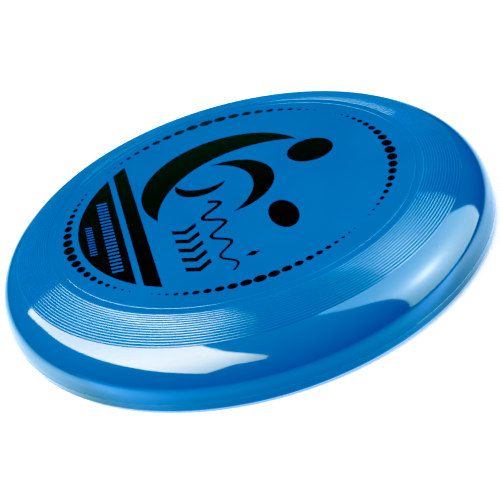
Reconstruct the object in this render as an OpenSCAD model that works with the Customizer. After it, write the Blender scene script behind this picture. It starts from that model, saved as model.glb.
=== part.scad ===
// Flying disc: one plastic moulding with a domed flight plate, a bead, fine flight ridges,
// a rolled shoulder and a deep rim, and the ink that is printed on top of the plate.
// Origin: on the axis of the disc, in the plane that the foot of the rim rests on. +Z is up.
// Millimetres.

/* [Moulding] */
// Outside diameter, at the parting line
disc_d = 267; // [250:1:280]
// Height of the flight plate's edge above the foot
plate_h = 30.3; // [29:0.1:33]
// Height of the plate's middle above its edge
dome_rise = 1; // [0.4:0.1:3]
// Wall of the flight plate and the shoulder
plate_t = 1.9; // [1.6:0.1:2.4]
// Wall of the rim at the parting line
rim_t = 6; // [5:0.1:6.4]

/* [Bead and ridges] */
// Radius of the raised bead that frames the plate
bead_r = 97.4; // [97:0.1:99]
// Width of the bead
bead_w = 0.8; // [0.6:0.1:1.4]
// Height of the bead
bead_h = 0.16; // [0.1:0.02:0.3]
// Number of flight ridges
ridge_count = 14; // [8:1:14]
// Distance from ridge to ridge, along the shoulder
ridge_pitch = 1.36; // [1.3:0.02:1.44]
// Height of a ridge
ridge_h = 0.28; // [0.16:0.02:0.3]
// Place of the first ridge's crest, along the shoulder's curve
first_crest = 0.4; // [0.2:0.1:0.8]

/* [Shoulder and rim] */
// Radius where the flat plate turns into the shoulder
shoulder_r = 101.4; // [101:0.1:103]
// Radius of the shoulder's curve, which carries the ridges
shoulder_curve = 40.4; // [38:0.2:44]
// Slope at which the shoulder turns into the tighter cheek, in degrees
cheek_slope = 33; // [31:1:36]
// Draft of the rim's walls below the parting line, in degrees
draft = 1.5; // [0.5:0.5:3]
// Rounding of the rim's outer lower edge
lip_r = 2.4; // [2:0.1:2.6]
// Rounding of the rim's inner lower edge
inner_lip_r = 1; // [0.6:0.1:1.2]
// How far the parting line stands out of the wall
seam_h = 0.12; // [0.05:0.01:0.2]
// Half height of the parting line
seam_half = 0.2; // [0.1:0.05:0.4]
// Diameter of the gate pad under the middle of the plate
gate_pad_d = 22; // [14:1:30]
// Thickness of the gate pad
gate_pad_t = 0.4; // [0.2:0.1:0.8]
// Diameter of the trimmed gate
gate_d = 4; // [3:0.5:6]
// Height of the trimmed gate
gate_h = 0.5; // [0.3:0.1:1]

/* [Print] */
// Thickness of the ink
ink_t = 0.1; // [0.06:0.02:0.2]
// How far the whole print lies off the disc's axis, left to right
print_x = -1.9; // [-2:0.1:2]
// How far the whole print lies off the disc's axis, front to back
print_y = 0.9; // [-2:0.1:2]
// Turn of the panel, the stripe and the emblem about the print's middle, in degrees
print_turn = 5.2; // [-10:0.1:10]
// Radius of the ring of dots
dot_ring_r = 88.2; // [86:0.1:89]
// How far the ring of dots lies behind the rest of the print
dot_ring_back = 0.8; // [0:0.1:1.2]
// Size step from one dot of a run to the next, as a mean radius
dot_step = 0.29; // [0.24:0.01:0.3]
// How much longer than wide a dot is
dot_stretch = 1.28; // [1:0.02:1.34]
// Radius of the circle that the panel and the stripe fill
field_r = 82.3; // [80:0.1:83]
// Distance from the print's middle to the panel's straight edge
panel_x = 59; // [58:0.5:62]
// Distances from the print's middle to the two edges of the stripe
stripe_x = [47.7, 55.8];
// Number of ticks in the panel's long row
tick_count = 22; // [10:1:23]
// Number of ticks in the panel's short row
small_tick_count = 12; // [6:1:14]

/* [Emblem] */
// Largest radius of the outer, middle and inner swoosh
swoosh_r = [48, 28, 14.5];
// Greatest width of the outer, middle and inner swoosh
swoosh_w = [24, 12, 7];
// Radius of the filled disc mark
disc_mark_r = 12.8; // [10:0.1:13]
// Half width and half length of the oval spot
spot_half = [7.3, 13.6];
// Number of chevrons in the row
chevron_count = 5; // [3:1:5]
// Length of the wavy line
wave_len = 68; // [50:1:70]
// Number of waves in the line
wave_count = 3.5; // [2:0.5:4]
// Half length of the small diamond
diamond_r = 3.6; // [2.5:0.1:3.8]

/* [Hidden] */

ROUND = 240;          // facets of a large full turn
SMALL_ROUND = 48;     // facets of a small full turn
PLASTIC = "#0070ba";
INK = "#0b0b0d";
disc_r = disc_d / 2;

// The plate's dome is a shallow parabola, drawn as rings of cone up to the bead
dome_end = bead_r - bead_w / 2;
dome_rings = 6;
dome_steps = [for (i = [0:dome_rings]) dome_end * i / dome_rings];
function plate_z(r) = plate_h + dome_rise * (1 - pow(r / dome_end, 2));

// The direction square to a surface of a given slope: 0 is level and 90 the upright outer wall
function square_to(slope) = [sin(slope), cos(slope)];
// Points of an arc whose centre is c, from slope a to slope b, both ends among them
function slope_arc(c, radius, a, b, steps) =
    [for (i = [0:steps]) c + radius * square_to(a + (b - a) * i / steps)];
// The same points without the first
function next_arc(c, radius, a, b, steps) =
    [for (i = [1:steps]) c + radius * square_to(a + (b - a) * i / steps)];

shoulder_c = [shoulder_r, plate_h - shoulder_curve];
cheek_start = shoulder_c + shoulder_curve * square_to(cheek_slope);
wall_r = disc_r - seam_h;
cheek_curve = (wall_r - cheek_start[0]) / (1 - sin(cheek_slope));
cheek_c = cheek_start - cheek_curve * square_to(cheek_slope);
seam_z = cheek_c[1];
seam_slope = 90 - asin(seam_half / cheek_curve);
lip_c = [wall_r - (seam_z - lip_r) * tan(draft) - lip_r, lip_r];

// The inside of the rim: the shoulder's wall, then one arc down to the upright inner wall
inner_start = shoulder_c + (shoulder_curve - plate_t) * square_to(cheek_slope);
inner_wall_r = wall_r - rim_t;
inner_curve = (inner_wall_r - inner_start[0]) / (1 - sin(cheek_slope));
inner_c = inner_start - inner_curve * square_to(cheek_slope);
inner_lip_c = [inner_wall_r + inner_c[1] * tan(draft) + inner_lip_r, inner_lip_r];

// Height of a low round hump, an arc on a chord of twice half, at a distance x from its middle
function hump(half, height, x) =
    let (radius = (half * half + height * height) / (2 * height))
    sqrt(radius * radius - x * x) - (radius - height);

// The ridges are humps side by side, each drawn as four straight pieces
RIDGE_SHARES = [-1, -0.5, 0, 0.5];
function on_shoulder(along, lift) =
    shoulder_c + (shoulder_curve + lift) * square_to(along / shoulder_curve * 180 / PI);
ridge_half = ridge_pitch / 2;
ridge_points = [
    for (i = [0:ridge_count - 1], share = RIDGE_SHARES)
        let (off = share * ridge_half)
        on_shoulder(first_crest + i * ridge_pitch + off, hump(ridge_half, ridge_h, off))
];
ridges_end = (first_crest + (ridge_count - 0.5) * ridge_pitch) / shoulder_curve * 180 / PI;

bead_half = bead_w / 2;
bead_points = [
    for (share = [-1, -0.5, 0, 0.5, 1])
        [bead_r + share * bead_half, plate_h + hump(bead_half, bead_h, share * bead_half)]
];

disc_outline = concat(
    [for (i = [0:dome_rings - 1]) [dome_steps[i], plate_z(dome_steps[i])]],
    bead_points,
    ridge_points,
    slope_arc(shoulder_c, shoulder_curve, ridges_end, cheek_slope, 3),
    next_arc(cheek_c, cheek_curve, cheek_slope, seam_slope, 14),
    [[disc_r, seam_z], [wall_r, seam_z - seam_half]],
    slope_arc(lip_c, lip_r, 90, 180, 6),
    slope_arc(inner_lip_c, inner_lip_r, 180, 270, 4),
    slope_arc(inner_c, inner_curve, 90, cheek_slope, 10),
    next_arc(shoulder_c, shoulder_curve - plate_t, cheek_slope, 0, 9),
    [for (i = [dome_rings:-1:0]) [dome_steps[i], plate_z(dome_steps[i]) - plate_t]]
);

module disc_body() {
    color(PLASTIC) {
        rotate_extrude($fn = ROUND) polygon(disc_outline);
        // the gate pad and the trimmed gate, under the middle
        under_z = plate_z(0) - plate_t;
        translate([0, 0, under_z - gate_pad_t])
            cylinder(h = gate_pad_t + plate_t / 2, d = gate_pad_d, $fn = ROUND);
        translate([0, 0, under_z - gate_pad_t - gate_h])
            cylinder(h = gate_h + plate_t / 2, d = gate_d, $fn = SMALL_ROUND);
    }
}

// The layer of ink that follows the dome
module ink_layer() {
    rotate_extrude($fn = ROUND) polygon(concat(
        [for (r = dome_steps) [r, plate_z(r)]],
        [for (i = [dome_rings:-1:0]) [dome_steps[i], plate_z(dome_steps[i]) + ink_t]]
    ));
}

// Ink in the shape of a flat drawing, laid onto the dome
module ink(turn = print_turn) {
    color(INK) intersection() {
        translate([print_x, print_y, plate_h - 1]) rotate(turn)
            linear_extrude(height = dome_rise + 2) children();
        ink_layer();
    }
}

// One run of graded dots. Level 0 would be the first, vanishing dot; the largest is in the middle.
TOP_LEVEL = 11;
FIRST_GAP = 2.7;      // degrees from one dot to the next at level 0
GAP_GROWTH = 0.235;   // degrees that the distance grows with each level
SMALLEST = 0.13;      // mean radius of a dot at level 0
FINE_LEVEL = 4;       // dots below this level are drawn with fewer sides
function level_turn(level) =
    FIRST_GAP * (TOP_LEVEL - level)
    + GAP_GROWTH * ((TOP_LEVEL - 1) * TOP_LEVEL - (level - 1) * level) / 2;
function oval(half, steps) =
    [for (i = [0:steps - 1]) let (a = 360 * i / steps) [half[0] * cos(a), half[1] * sin(a)]];
module dot_run(middle, scaling) {
    for (side = [-1, 1], level = [1:side == 1 ? TOP_LEVEL : TOP_LEVEL - 1]) {
        mean_r = (SMALLEST + dot_step * level) * scaling;
        half = mean_r * [1 / sqrt(dot_stretch), sqrt(dot_stretch)];
        translate([0, dot_ring_back]) rotate(middle + side * scaling * level_turn(level))
            translate([dot_ring_r, 0]) polygon(oval(half, level < FINE_LEVEL ? 12 : 20));
    }
}
// The runs' middles, in degrees from +X, and their sizes against a quarter of the ring
FAR_RUN = [90.4, 1.14];
LEFT_RUN = [188.9, 1.015];
NEAR_RUN = [272.1, 0.857];
RIGHT_RUN = [354.3, 1.01];
module ink_dots_far() { ink(0) dot_run(FAR_RUN[0], FAR_RUN[1]); }
module ink_dots_left() { ink(0) dot_run(LEFT_RUN[0], LEFT_RUN[1]); }
module ink_dots_near() { ink(0) dot_run(NEAR_RUN[0], NEAR_RUN[1]); }
module ink_dots_right() { ink(0) dot_run(RIGHT_RUN[0], RIGHT_RUN[1]); }

// A row of slanted ticks along Y, centred on a point
TICK_SLANT = 0.25;
module tick_row(middle, count, pitch, width, height) {
    slant = height * TICK_SLANT;
    for (i = [0:count - 1]) translate(middle + [0, (i - (count - 1) / 2) * pitch])
        polygon([[-height / 2, -width / 2], [height / 2, -width / 2 - slant],
            [height / 2, width / 2 - slant], [-height / 2, width / 2]]);
}

// The part of the print's field between two distances left of its middle
module field_slice(near_x, far_x) {
    intersection() {
        circle(field_r, $fn = ROUND);
        translate([-far_x, -field_r]) square([far_x - near_x, 2 * field_r]);
    }
}

// The two rows of ticks: middle, pitch, width and height
LONG_ROW_AT = [-66, -3.5];
LONG_ROW = [3.45, 1.6, 5.8];
SHORT_ROW_AT = [-75.8, -3];
SHORT_ROW = [2.6, 1, 3.6];
module ink_panel() {
    ink() difference() {
        field_slice(panel_x, field_r);
        tick_row(LONG_ROW_AT, tick_count, LONG_ROW[0], LONG_ROW[1], LONG_ROW[2]);
        tick_row(SHORT_ROW_AT, small_tick_count, SHORT_ROW[0], SHORT_ROW[1], SHORT_ROW[2]);
    }
}

module ink_stripe() {
    ink() field_slice(stripe_x[0], stripe_x[1]);
}

// A tapered swoosh: a disc less a second one, so that it is thickest towards one side.
// The reach is how far from its thickest point the swoosh runs to its tip, in degrees.
SWOOSH_AT = [[3, 14], [-1, 4], [-11, 17]];
SWOOSH_TOWARDS = [113, 0, 245];
SWOOSH_REACH = [94, 92, 88];
module swoosh(which) {
    radius = swoosh_r[which];
    width = swoosh_w[which];
    shift = width * (radius - width / 2) / (radius * (1 - cos(SWOOSH_REACH[which])) - width);
    translate(SWOOSH_AT[which]) rotate(SWOOSH_TOWARDS[which]) difference() {
        circle(radius, $fn = ROUND);
        translate([-shift, 0]) circle(radius - width + shift, $fn = ROUND);
    }
}
module ink_swoosh_outer() { ink() swoosh(0); }
module ink_swoosh_middle() { ink() swoosh(1); }
module ink_swoosh_inner() { ink() swoosh(2); }

DISC_MARK_AT = [50.9, 12.3];
SPOT_AT = [20.1, -41.6];
module ink_disc_mark() { ink() translate(DISC_MARK_AT) circle(disc_mark_r, $fn = ROUND); }
module ink_spot() { ink() translate(SPOT_AT) polygon(oval(spot_half, SMALL_ROUND)); }

CHEVRONS_AT = [-28.6, -22];
CHEVRON_PITCH = 9;
CHEVRON_HALF = 6.4;
CHEVRON_STROKE = 3.6;
CHEVRON_LEAN = 4;
module chevron() {
    polygon([
        [-CHEVRON_HALF, 0], [0, -CHEVRON_LEAN], [CHEVRON_HALF, 0],
        [CHEVRON_HALF, -CHEVRON_STROKE], [0, -CHEVRON_LEAN - CHEVRON_STROKE],
        [-CHEVRON_HALF, -CHEVRON_STROKE]
    ]);
}
module ink_chevrons() {
    ink() for (i = [0:chevron_count - 1]) translate(CHEVRONS_AT - [0, i * CHEVRON_PITCH]) chevron();
}

// A wavy line along -Y. It drifts to the left, and its waves and its stroke die away towards the end.
WAVE_AT = [-12, -6];
WAVE_DRIFT = 2;
WAVE_SWING = [6, 3];
WAVE_HALF = [1.3, 0.6];
WAVE_STEPS = 72;
WAVE_NUDGE = 0.002;
function between(ends, t) = ends[0] + (ends[1] - ends[0]) * t;
function wave_at(t) =
    WAVE_AT + [between(WAVE_SWING, t) * sin(360 * wave_count * t) - WAVE_DRIFT * t, -wave_len * t];
function wave_side(t, side) =
    let (d = wave_at(t + WAVE_NUDGE) - wave_at(t - WAVE_NUDGE))
    wave_at(t) + side * between(WAVE_HALF, t) * [-d[1], d[0]] / norm(d);
module ink_wave() {
    ink() polygon(concat(
        [for (i = [0:WAVE_STEPS]) wave_side(i / WAVE_STEPS, 1)],
        [for (i = [WAVE_STEPS:-1:0]) wave_side(i / WAVE_STEPS, -1)]
    ));
}

DIAMOND_AT = [-2.5, -66];
DIAMOND_SLIM = 0.55;
module ink_diamond() {
    ink() translate(DIAMOND_AT) polygon([
        [diamond_r, 0], [0, diamond_r * DIAMOND_SLIM], [-diamond_r, 0], [0, -diamond_r * DIAMOND_SLIM]
    ]);
}

disc_body();
ink_dots_far();
ink_dots_left();
ink_dots_near();
ink_dots_right();
ink_panel();
ink_stripe();
ink_swoosh_outer();
ink_swoosh_middle();
ink_swoosh_inner();
ink_disc_mark();
ink_spot();
ink_chevrons();
ink_wave();
ink_diamond();
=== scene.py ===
# The looks of the flying disc: one glossy blue moulding with a black print on its plate.
# Metres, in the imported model's frame: the disc's axis is Z and its rim rests on z = 0.
import math

import bmesh
import bpy
from mathutils import Matrix, Quaternion, Vector

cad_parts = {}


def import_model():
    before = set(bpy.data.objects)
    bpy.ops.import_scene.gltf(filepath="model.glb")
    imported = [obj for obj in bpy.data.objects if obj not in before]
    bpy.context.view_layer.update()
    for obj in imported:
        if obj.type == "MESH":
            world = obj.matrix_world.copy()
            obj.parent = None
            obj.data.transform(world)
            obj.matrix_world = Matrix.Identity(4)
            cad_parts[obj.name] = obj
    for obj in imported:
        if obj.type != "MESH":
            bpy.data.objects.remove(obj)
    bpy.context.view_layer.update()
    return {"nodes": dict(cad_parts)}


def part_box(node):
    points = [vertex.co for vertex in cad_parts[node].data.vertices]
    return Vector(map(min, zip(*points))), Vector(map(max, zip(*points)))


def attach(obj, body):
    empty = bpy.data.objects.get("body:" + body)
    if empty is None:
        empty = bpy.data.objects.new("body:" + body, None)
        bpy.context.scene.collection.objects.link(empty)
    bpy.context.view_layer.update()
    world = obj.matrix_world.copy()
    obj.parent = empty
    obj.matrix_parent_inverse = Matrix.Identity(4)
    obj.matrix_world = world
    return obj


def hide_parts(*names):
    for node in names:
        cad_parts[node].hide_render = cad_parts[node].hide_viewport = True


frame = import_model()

BODY_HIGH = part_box("disc_body")[1]
MM = 0.001
INK_NODES = sorted(name for name in frame["nodes"] if name.startswith("ink_"))

# The moulding's section, in millimetres and degrees, as the CAD body has it
DISC_R = BODY_HIGH.x / MM
DOME_RISE = 1.0
PLATE_H = BODY_HIGH.z / MM - DOME_RISE
PLATE_T = 1.9
RIM_T = 6.0
BEAD_R = 97.4
BEAD_HALF = 0.4
BEAD_H = 0.16
DOME_END = BEAD_R - BEAD_HALF
RIDGES = 14
RIDGE_PITCH = 1.36
RIDGE_H = 0.28
FIRST_CREST = 0.4
SHOULDER_R = 101.4
SHOULDER_CURVE = 40.4
CHEEK_SLOPE = 33
DRAFT = math.tan(math.radians(1.5))
LIP_R = 2.4
INNER_LIP_R = 1.0
SEAM_H = 0.12
SEAM_HALF = 0.2
PAD_R = 11.0
PAD_T = 0.4
GATE_R = 2.0
GATE_H = 0.5
PAD_EDGE = 0.12

# How finely the section is drawn
TURNS = 360
DOME_STEPS = 14
BEAD_STEPS = 8
RIDGE_STEPS = 8
SHOULDER_STEPS = 6
CHEEK_STEPS = 24
LIP_STEPS = 8
INNER_LIP_STEPS = 6
INNER_CHEEK_STEPS = 16
INNER_SHOULDER_STEPS = 12
UNDER_STEPS = 12
CREASE_ANGLE = 30

# The camera, about the middle of the bead, in disc radii, degrees and millimetres
VIEW_DISTANCE = 3.75
VIEW_ELEVATION = 28.87
VIEW_ROLL = -16.71
VIEW_AIM = (0.0048, -0.4608)
VIEW_MIDDLE = PLATE_H + 0.45
VIEW_LENS = 68.08


# ---------------------------------------------------------------- the moulding's section

def on_arc(centre, radius, slope):
    """The point where an arc's surface has a slope: 0 is level and 90 an upright outer wall."""
    turn = math.radians(slope)
    return (centre[0] + radius * math.sin(turn), centre[1] + radius * math.cos(turn))


def arc(centre, radius, first, last, steps):
    """Points of an arc from one slope to another, both ends among them."""
    return [on_arc(centre, radius, first + (last - first) * i / steps) for i in range(steps + 1)]


def next_arc(start, wall_r):
    """Centre and radius of the arc that leaves start at the cheek's slope and ends in the wall."""
    turn = math.radians(CHEEK_SLOPE)
    radius = (wall_r - start[0]) / (1 - math.sin(turn))
    return (start[0] - radius * math.sin(turn), start[1] - radius * math.cos(turn)), radius


# The shoulder's centre, the rim's radius without its parting line, and the cheek's arc, which ends there
SHOULDER = (SHOULDER_R, PLATE_H - SHOULDER_CURVE)
WALL_R = DISC_R - SEAM_H
CHEEK, CHEEK_CURVE = next_arc(on_arc(SHOULDER, SHOULDER_CURVE, CHEEK_SLOPE), WALL_R)


def hump(half, height, offset):
    """Height of a low round hump, an arc on a chord of twice half, at an offset from its middle."""
    radius = (half * half + height * height) / (2 * height)
    return math.sqrt(radius * radius - offset * offset) - (radius - height)


def dome_z(r):
    """Height of the plate's smooth top."""
    return PLATE_H + DOME_RISE * (1 - (r / DOME_END) ** 2)


def dome():
    """The plate's top, from the axis to the bead."""
    radii = [DOME_END * i / DOME_STEPS for i in range(DOME_STEPS)]
    return [(r, dome_z(r)) for r in radii]


def bead():
    """The raised bead between the plate and the ridges."""
    offsets = [BEAD_HALF * (2 * i / BEAD_STEPS - 1) for i in range(BEAD_STEPS + 1)]
    return [(BEAD_R + offset, PLATE_H + hump(BEAD_HALF, BEAD_H, offset)) for offset in offsets]


def ridges():
    """The flight ridges, humps side by side along the shoulder's curve."""
    half = RIDGE_PITCH / 2
    points = []
    for i in range(RIDGES * RIDGE_STEPS):
        offset = half * (2 * (i % RIDGE_STEPS) / RIDGE_STEPS - 1)
        along = FIRST_CREST + i // RIDGE_STEPS * RIDGE_PITCH + offset
        slope = math.degrees(along / SHOULDER_CURVE)
        points.append(on_arc(SHOULDER, SHOULDER_CURVE + hump(half, RIDGE_H, offset), slope))
    return points


def seam():
    """The parting line round the widest place, from shares of its half height."""
    shares = [0.8, 0.4, 0, -0.4, -0.8, -1]
    lifts = [SEAM_H * (0.5 + 0.5 * math.cos(math.pi * share)) for share in shares]
    return [(WALL_R + lift, CHEEK[1] + SEAM_HALF * share) for share, lift in zip(shares, lifts)]


def under_plate():
    """The underside from the shoulder to the axis, with the gate pad and the trimmed gate."""
    radii = [SHOULDER_R * (1 - i / UNDER_STEPS) for i in range(1, UNDER_STEPS)]
    points = [(r, dome_z(min(r, DOME_END)) - PLATE_T) for r in radii if r > PAD_R + PAD_EDGE]
    z = dome_z(0) - PLATE_T
    points += [(PAD_R + PAD_EDGE, z), (PAD_R, z - PAD_EDGE)]
    z -= PAD_T
    points += [(PAD_R, z + PAD_EDGE), (PAD_R - PAD_EDGE, z)]
    points += [(GATE_R + PAD_EDGE, z), (GATE_R, z - PAD_EDGE)]
    z -= GATE_H
    points += [(GATE_R, z + PAD_EDGE), (GATE_R - PAD_EDGE, z), (0, z)]
    return points


def section():
    """The whole section of the moulding, from the top of its axis round to the bottom of its axis."""
    lip = (WALL_R - (CHEEK[1] - LIP_R) * DRAFT - LIP_R, LIP_R)
    inside = SHOULDER_CURVE - PLATE_T
    inner_r = WALL_R - RIM_T
    inner, inner_curve = next_arc(on_arc(SHOULDER, inside, CHEEK_SLOPE), inner_r)
    inner_lip = (inner_r + inner[1] * DRAFT + INNER_LIP_R, INNER_LIP_R)
    ridges_end = math.degrees((FIRST_CREST + (RIDGES - 0.5) * RIDGE_PITCH) / SHOULDER_CURVE)
    seam_slope = 90 - math.degrees(SEAM_HALF / CHEEK_CURVE)
    points = dome() + bead() + ridges()
    points += arc(SHOULDER, SHOULDER_CURVE, ridges_end, CHEEK_SLOPE, SHOULDER_STEPS)
    points += arc(CHEEK, CHEEK_CURVE, CHEEK_SLOPE, seam_slope, CHEEK_STEPS)[1:]
    points += seam()
    points += arc(lip, LIP_R, 90, 180, LIP_STEPS)
    points += arc(inner_lip, INNER_LIP_R, 180, 270, INNER_LIP_STEPS)
    points += arc(inner, inner_curve, 90, CHEEK_SLOPE, INNER_CHEEK_STEPS)
    points += arc(SHOULDER, inside, CHEEK_SLOPE, 0, INNER_SHOULDER_STEPS)[1:]
    return points + under_plate()


def lathe(name, points):
    """A closed mesh of revolution about Z from a section in millimetres that starts and ends on the axis."""
    mesh = bmesh.new()
    turns = [2 * math.pi * k / TURNS for k in range(TURNS)]
    rings = []
    for r, z in points[1:-1]:
        rings.append([mesh.verts.new((r * math.cos(a) * MM, r * math.sin(a) * MM, z * MM)) for a in turns])
    top = mesh.verts.new((0, 0, points[0][1] * MM))
    bottom = mesh.verts.new((0, 0, points[-1][1] * MM))
    for k in range(TURNS):
        n = (k + 1) % TURNS
        mesh.faces.new((top, rings[0][k], rings[0][n]))
        mesh.faces.new((bottom, rings[-1][n], rings[-1][k]))
        for outer, inner in zip(rings[1:], rings):
            mesh.faces.new((inner[k], outer[k], outer[n], inner[n]))
    data = bpy.data.meshes.new(name)
    mesh.to_mesh(data)
    mesh.free()
    data.shade_smooth()
    data.set_sharp_from_angle(angle=math.radians(CREASE_ANGLE))
    return add_object(name, data)


def add_object(name, data):
    """Puts a mesh, lamp or camera into the scene."""
    piece = bpy.data.objects.new(name, data)
    bpy.context.scene.collection.objects.link(piece)
    return piece


# ---------------------------------------------------------------- node helpers

# A size beyond everything, along which a glow doesn't fade
FAR = 1000.0


class Graph:
    """A material's nodes, with short calls for the kinds that are used here."""

    def __init__(self, name):
        self.material = bpy.data.materials.new(name)
        self.material.use_nodes = True
        self.nodes = self.material.node_tree.nodes
        self.place = self.nodes.new("ShaderNodeTexCoord").outputs["Object"]

    def put(self, socket, value):
        """Feeds a socket from another one, or sets its value."""
        if isinstance(value, bpy.types.NodeSocket):
            self.material.node_tree.links.new(value, socket)
        else:
            socket.default_value = value

    def node(self, kind, output, settings, **values):
        """Adds a node with settings and inputs, and gives one of its outputs."""
        made = self.nodes.new(kind)
        for name, setting in settings.items():
            setattr(made, name, setting)
        for name, value in values.items():
            self.put(made.inputs[name.replace("_", " ")], value)
        return made.outputs[output]

    def math(self, operation, *values):
        made = self.nodes.new("ShaderNodeMath")
        made.operation = operation
        for socket, value in zip(made.inputs, values):
            self.put(socket, value)
        return made.outputs["Value"]

    def vector(self, operation, output, *values):
        made = self.nodes.new("ShaderNodeVectorMath")
        made.operation = operation
        for socket, value in zip(made.inputs, values):
            self.put(socket, value)
        return made.outputs[output]

    def axis(self, name):
        """One coordinate of the place."""
        return self.node("ShaderNodeSeparateXYZ", name, {}, Vector=self.place)

    def noise(self, scale, detail=3.0, roughness=0.5, vector=None):
        return self.node("ShaderNodeTexNoise", "Fac", {}, Vector=vector or self.place,
                         Scale=scale, Detail=detail, Roughness=roughness)

    def spread(self, value, low, high, start=0.3, end=0.7):
        """Maps start to end, by default a noise's middle range, evenly onto low to high."""
        return self.node("ShaderNodeMapRange", "Result", {}, Value=value,
                         From_Min=start, From_Max=end, To_Min=low, To_Max=high)

    def step(self, value, start, end):
        """A smooth step from 0 at start to 1 at end."""
        return self.node("ShaderNodeMapRange", "Result", {"interpolation_type": "SMOOTHSTEP"},
                         Value=value, From_Min=start, From_Max=end)

    def blend(self, share, first, second):
        made = self.nodes.new("ShaderNodeMix")
        made.data_type = "RGBA"
        colours = [socket for socket in made.inputs if socket.type == "RGBA"]
        self.put(made.inputs["Factor"], share)
        self.put(colours[0], first)
        self.put(colours[1], second)
        return next(socket for socket in made.outputs if socket.type == "RGBA")

    def bell(self, vector, middle, size):
        """1 at a point, falling smoothly to nothing over a size of its own along each axis."""
        offset = self.vector("SUBTRACT", "Vector", vector, middle)
        scaled = self.vector("DIVIDE", "Vector", offset, size)
        square = self.vector("DOT_PRODUCT", "Value", scaled, scaled)
        return self.math("EXPONENT", self.math("MULTIPLY", square, -1.0))

    def spot(self, strength, middle, size):
        """A glow of a strength round a place in a panel's plane."""
        return self.times(self.bell(self.place, (*middle, 0), (*size, FAR)), strength)

    def total(self, first, *others):
        for other in others:
            first = self.math("ADD", first, other)
        return first

    def times(self, first, *others):
        for other in others:
            first = self.math("MULTIPLY", first, other)
        return first

    def bump(self, height, strength, distance):
        return self.node("ShaderNodeBump", "Normal", {}, Strength=strength, Distance=distance, Height=height)

    def glow(self, strength, colour):
        return self.node("ShaderNodeEmission", "Emission", {}, Strength=strength, Color=colour)

    def surface(self, shader):
        """Makes a shader the material's surface, and gives the material."""
        self.put(self.nodes["Material Output"].inputs["Surface"], shader)
        return self.material


# ---------------------------------------------------------------- materials

DEEP_BLUE = (0.0, 0.144, 0.430, 1)
CLEAR_BLUE = (0.0, 0.159, 0.468, 1)
# Pale blue for the dust specks and for the painted highlight along the parting line
DUST_AND_HIGHLIGHT_BLUE = (0.16, 0.40, 0.66, 1)
INK_BLACK = (0.0006, 0.0006, 0.0009, 1)
INK_GREY = (0.0015, 0.0015, 0.002, 1)
FLOOR_WHITE = (0.77, 0.9, 0.98, 1)
FLOOR_LIGHT = (0.86, 1.0, 1.08, 1)

# In metres: the specks' spacing and radius, and how far the painted highlight reaches from the parting line
SPECK_CELL = 0.0065
SPECK_R = 0.0002
SEAM_HIGHLIGHT_REACH = 0.00025


def plastic_colour(graph):
    """Blue with soft flow marks, pale specks, and a painted highlight in patches along the parting line."""
    flow = graph.spread(graph.noise(22.0), low=0, high=1, start=0.35, end=0.65)
    blue = graph.blend(flow, DEEP_BLUE, CLEAR_BLUE)
    cells = graph.node("ShaderNodeTexVoronoi", "Distance", {}, Vector=graph.place, Scale=1 / SPECK_CELL)
    speck = graph.step(cells, start=SPECK_R / SPECK_CELL, end=0.5 * SPECK_R / SPECK_CELL)
    # The pale line along the parting line is a painted highlight, broken into patches by the noise below; the
    # specks are dust
    seam_highlight = graph.bell(graph.axis("Z"), (CHEEK[1] * MM,) * 3, (SEAM_HIGHLIGHT_REACH * math.sqrt(3),) * 3)
    patches = graph.spread(graph.noise(90.0), low=0.25, high=0.6)
    pale = graph.math("MAXIMUM", graph.times(speck, 0.6), graph.times(seam_highlight, patches))
    return graph.blend(pale, blue, DUST_AND_HIGHLIGHT_BLUE)


def plastic_roughness(graph):
    """An uneven polish, with hairline scratches that run one way."""
    turned = graph.node("ShaderNodeMapping", "Vector", {}, Vector=graph.place,
                        Rotation=(0, 0, math.radians(24)), Scale=(6, 900, 6))
    scratch = graph.step(graph.noise(1.0, detail=1.0, vector=turned), start=0.70, end=0.76)
    polish = graph.spread(graph.noise(60.0, detail=5.0, roughness=0.6), low=0.055, high=0.085)
    return graph.total(polish, graph.times(scratch, 0.08))


def plastic():
    """Glossy blue polyethylene, with a fine orange peel."""
    graph = Graph("blue_polyethylene")
    shader = graph.nodes["Principled BSDF"]
    peel = graph.bump(graph.noise(700.0, detail=2.0), strength=0.05, distance=0.00005)
    graph.put(shader.inputs["Base Color"], plastic_colour(graph))
    graph.put(shader.inputs["Roughness"], plastic_roughness(graph))
    graph.put(shader.inputs["Normal"], peel)
    shader.inputs["IOR"].default_value = 1.5
    return graph.material


def ink():
    """Opaque black ink, flatter than the plastic, with the slight grain of a printed film."""
    graph = Graph("black_print_ink")
    shader = graph.nodes["Principled BSDF"]
    grain = graph.noise(900.0, detail=2.0)
    graph.put(shader.inputs["Base Color"], graph.blend(graph.noise(300.0), INK_BLACK, INK_GREY))
    graph.put(shader.inputs["Roughness"], graph.spread(grain, low=0.16, high=0.24))
    graph.put(shader.inputs["Normal"], graph.bump(grain, strength=0.1, distance=0.00003))
    shader.inputs["Specular IOR Level"].default_value = 0.2
    return graph.material


def floor_material():
    """A matt white sheet with a little light of its own, which is clear from below."""
    graph = Graph("pale_floor")
    shader = graph.nodes["Principled BSDF"]
    shader.inputs["Base Color"].default_value = FLOOR_WHITE
    shader.inputs["Emission Color"].default_value = FLOOR_LIGHT
    shader.inputs["Emission Strength"].default_value = 0.45
    shader.inputs["Roughness"].default_value = 0.9
    shader.inputs["Specular IOR Level"].default_value = 0.0
    below = graph.nodes.new("ShaderNodeNewGeometry").outputs["Backfacing"]
    clear = graph.nodes.new("ShaderNodeBsdfTransparent").outputs["BSDF"]
    mix = graph.nodes.new("ShaderNodeMixShader")
    graph.put(mix.inputs[0], below)
    graph.put(mix.inputs[1], shader.outputs["BSDF"])
    graph.put(mix.inputs[2], clear)
    return graph.surface(mix.outputs["Shader"])


# ---------------------------------------------------------------- studio

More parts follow.
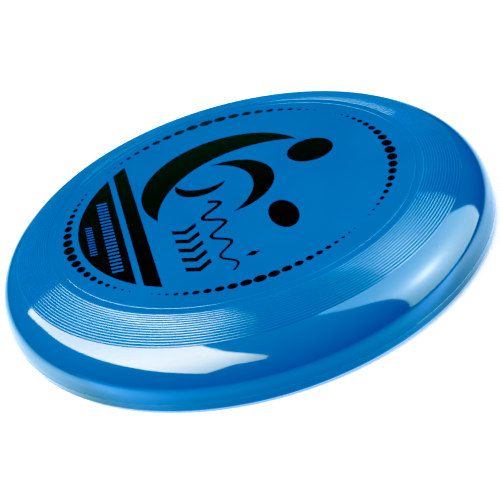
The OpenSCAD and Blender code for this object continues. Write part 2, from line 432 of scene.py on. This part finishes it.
PANEL_DISTANCE = 4.0
WHITE = (1.0, 1.0, 1.0, 1)
WARM = (1.0, 1.0, 0.75, 1)
COOL = (0.82, 1.0, 1.15, 1)
SKY = (0.75, 1.0, 1.5, 1)
DISC_BLUE = (0.11, 0.36, 1.0, 1)


def directions(azimuth, elevation):
    """Unit vectors: from the disc to a light, level along the light (anticlockwise from above), and up it."""
    turn, rise = math.radians(azimuth), math.radians(elevation)
    out = Vector((math.cos(rise) * math.cos(turn), math.cos(rise) * math.sin(turn), math.sin(rise)))
    along = Vector((-math.sin(turn), math.cos(turn), 0))
    return out, along, out.cross(along)


def only_reflected(piece):
    """Leaves a piece to be seen in reflections alone."""
    piece.visible_camera = False
    piece.visible_diffuse = False
    piece.visible_shadow = False


def panel(name, azimuth, elevation, corners, material):
    """A softbox's front, which only reflections see. Corners are shares of its distance."""
    out, along, up = directions(azimuth, elevation)
    data = bpy.data.meshes.new(name)
    data.from_pydata([(x, y, 0) for x, y in corners], [], [range(len(corners))])
    data.materials.append(material)
    piece = add_object(name, data)
    turn = Matrix((along, up, along.cross(up))).transposed().to_4x4()
    piece.matrix_world = Matrix.Translation(out * PANEL_DISTANCE) @ turn @ Matrix.Scale(PANEL_DISTANCE, 4)
    only_reflected(piece)


def key_panel():
    """The broad light on the left, brightest across its middle and fading to the right."""
    graph = Graph("key_panel_glow")
    even = graph.spread(graph.axis("X"), low=8.6, high=5.2, start=-1.1, end=1.1)
    hot = graph.spot(strength=11.0, middle=(0.12, 0), size=(0.68, FAR))
    corners = [
        (-1.3, -0.42), (-0.9, -0.33), (0.77, -0.32), (0.77, 0.0),
        (1.1, 0.17), (0.95, 0.27), (-0.1, 0.34), (-1.25, 0.4),
    ]
    material = graph.surface(graph.glow(graph.total(even, hot), WARM))
    panel("key_panel", azimuth=195, elevation=55, corners=corners, material=material)


def side_panel():
    """The tall light on the right, with a soft glow round a small hot core."""
    graph = Graph("side_panel_glow")
    even = graph.spread(graph.axis("Y"), low=6.2, high=4.8, start=-0.6, end=0.6)
    halo = graph.spot(strength=6.5, middle=(-0.12, -0.12), size=(0.42, 0.4))
    core = graph.spot(strength=7.0, middle=(-0.12, -0.1), size=(0.15, 0.12))
    corners = [
        (-0.70, -0.72), (-0.3, -1.02), (0.1, -1.2), (0.6, -1.4),
        (0.55, 0.62), (0.1, 0.75), (-0.05, 0.88),
    ]
    material = graph.surface(graph.glow(graph.total(even, halo, core), COOL))
    panel("side_panel", azimuth=355, elevation=38, corners=corners, material=material)


def back_strip():
    """The low pale backdrop behind, which fades upwards and to both sides."""
    graph = Graph("back_strip_glow")
    fade = graph.spread(graph.axis("Y"), low=1.6, high=0.4, start=-0.16, end=0.2)
    middle = graph.spot(strength=1.0, middle=(0, 0), size=(0.42, FAR))
    corners = [(-1.2, -0.16), (1.2, -0.16), (1.2, 0.2), (-1.2, 0.2)]
    material = graph.surface(graph.glow(graph.times(fade, middle), COOL))
    panel("back_strip", azimuth=90, elevation=9, corners=corners, material=material)


def sun(name, azimuth, elevation, irradiance, width):
    """A wide, distant lamp, which lights the disc and the floor but isn't seen in reflections."""
    out = directions(azimuth, elevation)[0]
    data = bpy.data.lights.new(name, "SUN")
    data.energy = irradiance
    data.angle = math.radians(width)
    light = add_object(name, data)
    light.rotation_mode = "QUATERNION"
    light.rotation_quaternion = (-out).to_track_quat("-Z", "Y")
    light.visible_glossy = False
    light.visible_camera = False


def world():
    """White behind the floor's far edge. It gives no light of its own."""
    made = bpy.data.worlds.new("studio")
    made.use_nodes = True
    background = made.node_tree.nodes["Background"]
    background.inputs["Color"].default_value = WHITE
    background.inputs["Strength"].default_value = 1.1
    bpy.context.scene.world = made
    made.cycles_visibility.diffuse = False
    made.cycles_visibility.glossy = False


def sheet(name, half, z, material):
    """A level square sheet about the disc's axis."""
    data = bpy.data.meshes.new(name)
    corners = [(-half, -half, z), (half, -half, z), (half, half, z), (-half, half, z)]
    data.from_pydata(corners, [], [(0, 1, 2, 3)])
    data.materials.append(material)
    return add_object(name, data)


def floor_glow():
    """What the rim mirrors of the floor: pale behind and on both sides, and blue in front."""
    graph = Graph("floor_glow")
    reach = graph.vector("LENGTH", "Value", graph.place)
    depth = graph.axis("Y")
    behind = graph.step(depth, start=-0.06, end=0.0)
    ring = graph.times(graph.step(reach, start=0.30, end=0.15), behind, 1.5)
    left = graph.spot(strength=4.2, middle=(-0.14, -0.09), size=(0.08, 0.075))
    right = graph.spot(strength=4.6, middle=(0.20, -0.10), size=(0.12, 0.075))
    shade = graph.spread(reach, low=0.6, high=1.0, start=0.132, end=0.158)
    tint = graph.blend(graph.step(graph.axis("X"), start=-0.05, end=0.12), COOL, SKY)
    pale = graph.glow(graph.times(graph.total(ring, left, right), shade), tint)
    front = graph.step(depth, start=-0.10, end=-0.125)
    fade = graph.spread(reach, low=6.8, high=2.8, start=0.15, end=0.45)
    blue = graph.glow(graph.times(front, shade, fade), DISC_BLUE)
    both = graph.nodes.new("ShaderNodeAddShader")
    graph.put(both.inputs[0], pale)
    graph.put(both.inputs[1], blue)
    only_reflected(sheet("floor_glow", half=3, z=-0.0005, material=graph.surface(both.outputs["Shader"])))


def floor_bounce():
    """The floor's light on the disc's walls, weaker in front."""
    graph = Graph("floor_bounce")
    side = graph.step(graph.axis("Y"), start=-0.12, end=0.05)
    strength = graph.spread(side, low=0.45, high=0.9, start=0, end=1)
    bounce = sheet("floor_bounce", half=3, z=-0.001, material=graph.surface(graph.glow(strength, WHITE)))
    bounce.visible_camera = False
    bounce.visible_glossy = False
    bounce.visible_shadow = False


def floor():
    """The plain floor that the camera sees."""
    plain = sheet("floor", half=30, z=0, material=floor_material())
    plain.visible_glossy = False
    plain.visible_diffuse = False


def camera():
    """The camera at the photograph's viewing angle."""
    radius = DISC_R * MM
    middle = Vector((0, 0, VIEW_MIDDLE * MM))
    rise = math.radians(VIEW_ELEVATION)
    place = middle + Vector((0, -math.cos(rise), math.sin(rise))) * VIEW_DISTANCE * radius
    aim = middle + Vector((VIEW_AIM[0], VIEW_AIM[1], 0)) * radius
    data = bpy.data.cameras.new("camera")
    data.lens = VIEW_LENS
    data.clip_start = 0.01
    piece = add_object("camera", data)
    piece.location = place
    piece.rotation_mode = "QUATERNION"
    look = (aim - place).to_track_quat("-Z", "Y")
    piece.rotation_quaternion = look @ Quaternion((0, 0, 1), math.radians(VIEW_ROLL))
    bpy.context.scene.camera = piece


# Tone curves as pairs of input and output
RED_CURVE = [
    (0.08, 0.0), (0.15, 0.03), (0.25, 0.10), (0.36, 0.19),
    (0.5, 0.34), (0.65, 0.52), (0.8, 0.71), (0.92, 0.88),
]
BLUE_CURVE = [
    (0.02, 0.01), (0.1, 0.27), (0.21, 0.36), (0.315, 0.42),
    (0.45, 0.49), (0.54, 0.62), (0.7, 0.78), (0.88, 0.92),
]


def grade():
    """The photograph's tones: red rises late, so faint reflections stay cyan, and the shade stays blue."""
    settings = bpy.context.scene.view_settings
    settings.view_transform = "Standard"
    settings.use_curve_mapping = True
    mapping = settings.curve_mapping
    mapping.black_level = (0, 0.003, 0.004)
    mapping.white_level = (0.84, 1.0, 1.09)
    for channel, points in ((0, RED_CURVE), (2, BLUE_CURVE)):
        for x, y in points:
            mapping.curves[channel].points.new(x, y)
    mapping.update()


# ---------------------------------------------------------------- the scene

camera()
moulding = lathe("disc_moulding", section())
moulding.data.materials.append(plastic())
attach(moulding, "root")
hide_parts("disc_body")

ink_film = ink()
for name in INK_NODES:
    film = frame["nodes"][name]
    film.data.materials.clear()
    film.data.materials.append(ink_film)

floor()
floor_glow()
floor_bounce()
world()
sun("key_sun", azimuth=180, elevation=55, irradiance=2.51, width=22)
sun("top_sun", azimuth=180, elevation=90, irradiance=1.72, width=30)
key_panel()
side_panel()
back_strip()
grade()
